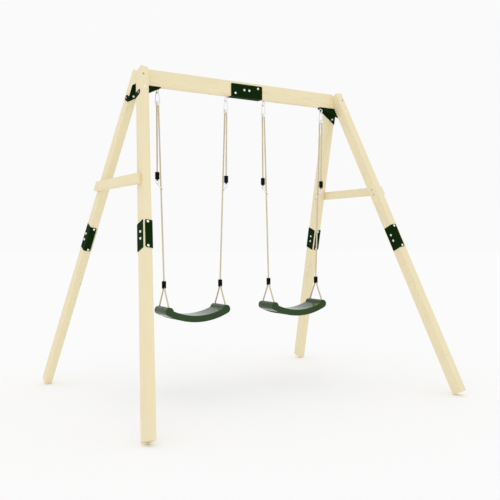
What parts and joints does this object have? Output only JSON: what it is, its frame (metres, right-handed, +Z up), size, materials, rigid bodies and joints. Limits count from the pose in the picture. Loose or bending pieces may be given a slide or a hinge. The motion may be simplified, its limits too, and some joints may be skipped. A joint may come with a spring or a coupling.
{
  "type": "swing set",
  "caption": "Timber A-frame swing set: a split beam on splayed, spliced legs with steel brackets, and moulded belt-shaped seats hung on adjustable ropes from snap hooks.",
  "frame": {"origin": "on the ground, midway between the A-frames", "axes": "+X along the beam, +Y across it in the direction of swing, +Z up"},
  "size_m": [2.023, 1.689, 1.8816],
  "materials": {
    "pine": "planed, faint grain",
    "bracket_paint": "dark green powder coat",
    "zinc_bolts": "bright zinc",
    "screw_steel": "plated",
    "bright_steel": "polished",
    "rope": "twisted hemp-coloured fibre",
    "seat_plastic": "smooth gloss",
    "clamp_plastic": "satin",
    "thimble_plastic": "satin"
  },
  "bodies": {
    "frame": {"apex_screws": "screw_steel", "beam_channel": "bracket_paint", "brace_screws": "screw_steel", "channel_bolts": "zinc_bolts", "corner_bolts": "zinc_bolts", "dome_nuts": "zinc_bolts", "eye_screws": "bright_steel", "eye_washers": "bright_steel", "front_left_lower_leg": "pine", "front_left_splice_plates": "bracket_paint", "front_left_upper_leg": "pine", "front_right_lower_leg": "pine", "front_right_splice_plates": "bracket_paint", "front_right_upper_leg": "pine", "left_beam": "pine", "left_brace": "pine", "left_corner_bracket": "bracket_paint", "rear_left_lower_leg": "pine", "rear_left_splice_plates": "bracket_paint", "rear_left_upper_leg": "pine", "rear_right_lower_leg": "pine", "rear_right_splice_plates": "bracket_paint", "rear_right_upper_leg": "pine", "right_beam": "pine", "right_brace": "pine", "right_corner_bracket": "bracket_paint", "splice_bolts": "zinc_bolts", "tab_screws": "screw_steel"},
    "left_swing": {"left_adjuster_rings": "bright_steel", "left_inner_adjuster": "bright_steel", "left_inner_hook": "bright_steel", "left_inner_rope": "rope", "left_outer_adjuster": "bright_steel", "left_outer_hook": "bright_steel", "left_outer_rope": "rope", "left_thimbles": "thimble_plastic", "left_upper_clamps": "clamp_plastic"},
    "left_seat": {"left_inner_seat_rope": "rope", "left_lower_clamps": "clamp_plastic", "left_outer_seat_rope": "rope", "left_seat": "seat_plastic"},
    "left_outer_gate": {"left_outer_gate": "bright_steel"},
    "left_inner_gate": {"left_inner_gate": "bright_steel"},
    "right_swing": {"right_adjuster_rings": "bright_steel", "right_inner_adjuster": "bright_steel", "right_inner_hook": "bright_steel", "right_inner_rope": "rope", "right_outer_adjuster": "bright_steel", "right_outer_hook": "bright_steel", "right_outer_rope": "rope", "right_thimbles": "thimble_plastic", "right_upper_clamps": "clamp_plastic"},
    "right_seat": {"right_inner_seat_rope": "rope", "right_lower_clamps": "clamp_plastic", "right_outer_seat_rope": "rope", "right_seat": "seat_plastic"},
    "right_inner_gate": {"right_inner_gate": "bright_steel"},
    "right_outer_gate": {"right_outer_gate": "bright_steel"}
  },
  "joints": [
    {"name": "left_swing_hinge", "type": "hinge", "parent": "frame", "child": "left_swing", "pos_m": [-0.357, 0, 1.75399], "axis": [1, 0, 0], "range_deg": [-50, 50]},
    {"name": "left_seat_tilt", "type": "hinge", "parent": "left_swing", "child": "left_seat", "pos_m": [-0.357, 0, 0.67444], "axis": [1, 0, 0], "range_deg": [-25, 25]},
    {"name": "left_outer_gate_hinge", "type": "hinge", "parent": "left_swing", "child": "left_outer_gate", "pos_m": [-0.5658, 0, 1.69978], "axis": [0, -1, 0], "range_deg": [0, 22], "stiffness_Nm_per_rad": 0.02, "springref_deg": -17.19},
    {"name": "left_inner_gate_hinge", "type": "hinge", "parent": "left_swing", "child": "left_inner_gate", "pos_m": [-0.14821, 0, 1.69978], "axis": [0, 1, 0], "range_deg": [0, 22], "stiffness_Nm_per_rad": 0.02, "springref_deg": -17.19},
    {"name": "right_swing_hinge", "type": "hinge", "parent": "frame", "child": "right_swing", "pos_m": [0.357, 0, 1.75399], "axis": [1, 0, 0], "range_deg": [-50, 50]},
    {"name": "right_seat_tilt", "type": "hinge", "parent": "right_swing", "child": "right_seat", "pos_m": [0.357, 0, 0.67444], "axis": [1, 0, 0], "range_deg": [-25, 25]},
    {"name": "right_inner_gate_hinge", "type": "hinge", "parent": "right_swing", "child": "right_inner_gate", "pos_m": [0.14821, 0, 1.69978], "axis": [0, -1, 0], "range_deg": [0, 22], "stiffness_Nm_per_rad": 0.02, "springref_deg": -17.19},
    {"name": "right_outer_gate_hinge", "type": "hinge", "parent": "right_swing", "child": "right_outer_gate", "pos_m": [0.5658, 0, 1.69978], "axis": [0, 1, 0], "range_deg": [0, 22], "stiffness_Nm_per_rad": 0.02, "springref_deg": -17.19}
  ]
}
